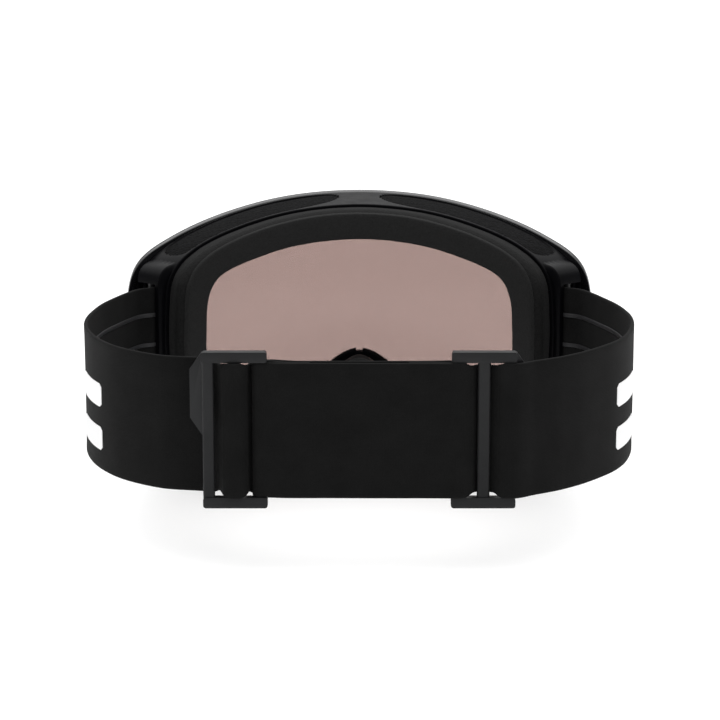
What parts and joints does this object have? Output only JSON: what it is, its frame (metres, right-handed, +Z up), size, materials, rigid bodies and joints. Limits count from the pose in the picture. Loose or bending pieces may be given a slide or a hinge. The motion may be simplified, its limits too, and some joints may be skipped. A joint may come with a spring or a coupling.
{
  "type": "ski goggles",
  "caption": "Over-face ski goggles with a curved magnetic double lens, soft vented frame, layered face foam and an elastic strap with sliding three-bar adjusters.",
  "frame": {"origin": "centre of the object's bounding box, at its lowest level (the frame's lower edge)", "axes": "+X to the wearer's right, along the widest extent; +Y the way the wearer looks; +Z up, the shortest extent"},
  "size_m": [0.19, 0.1749, 0.101],
  "materials": {
    "frame_rubber": "satin black soft moulded frame",
    "vent_foam": "open-cell black foam",
    "firm_foam": "matte black closed-cell foam",
    "soft_foam": "matte black soft foam",
    "fleece": "black brushed fleece",
    "post_plastic": "dark grey nylon",
    "magnet": "nickel plated magnet",
    "lens_tint": "glossy rose-brown tinted lens",
    "inner_lens_clear": "clear inner lens",
    "rim_plastic": "glossy black rim",
    "gasket_foam": "black spacer foam",
    "webbing": "black ribbed elastic webbing",
    "silicone": "dark grey silicone line",
    "print_white": "white rubber print",
    "thread": "black polyester thread",
    "clip_plastic": "dark grey satin moulded plastic"
  },
  "bodies": {
    "frame": {"frame_shell": "frame_rubber", "top_vent_foam_left": "vent_foam", "top_vent_foam_right": "vent_foam", "bottom_vent_foam_left": "vent_foam", "bottom_vent_foam_right": "vent_foam", "face_foam_base": "firm_foam", "face_foam_mid": "soft_foam", "face_fleece": "fleece", "strap_post_left": "post_plastic", "strap_post_right": "post_plastic", "frame_magnets": "magnet"},
    "lens": {"outer_lens": "lens_tint", "lens_carrier": "rim_plastic", "lens_gasket": "gasket_foam", "inner_lens": "inner_lens_clear", "lens_magnets": "magnet"},
    "rear_band": {"strap_left": "webbing", "strap_right": "webbing", "grip_lines_left": "silicone", "grip_lines_right": "silicone", "strap_print_left": "print_white", "strap_print_right": "print_white", "stitches_left": "thread", "stitches_right": "thread", "band_stitches": "thread"},
    "left_clip": {"clip_left": "clip_plastic"},
    "right_clip": {"clip_right": "clip_plastic"}
  },
  "joints": [
    {"name": "lens_release", "type": "slide", "parent": "frame", "child": "lens", "axis": [0, 1, 0], "range_m": [0, 0.03]},
    {"name": "strap_stretch", "type": "slide", "parent": "frame", "child": "rear_band", "axis": [0, -1, 0], "range_m": [0, 0.04], "stiffness_N_per_m": 160, "deforming": ["strap_left", "strap_right", "grip_lines_left", "grip_lines_right", "strap_print_left", "strap_print_right", "stitches_left", "stitches_right"]},
    {"name": "left_adjuster_slide", "type": "slide", "parent": "rear_band", "child": "left_clip", "axis": [-1, 0, 0], "range_m": [-0.018, 0.006], "deforming": ["strap_left", "strap_right", "band_stitches"]},
    {"name": "right_adjuster_slide", "type": "slide", "parent": "rear_band", "child": "right_clip", "axis": [1, 0, 0], "range_m": [-0.018, 0.006], "deforming": ["strap_left", "strap_right", "band_stitches"]}
  ]
}
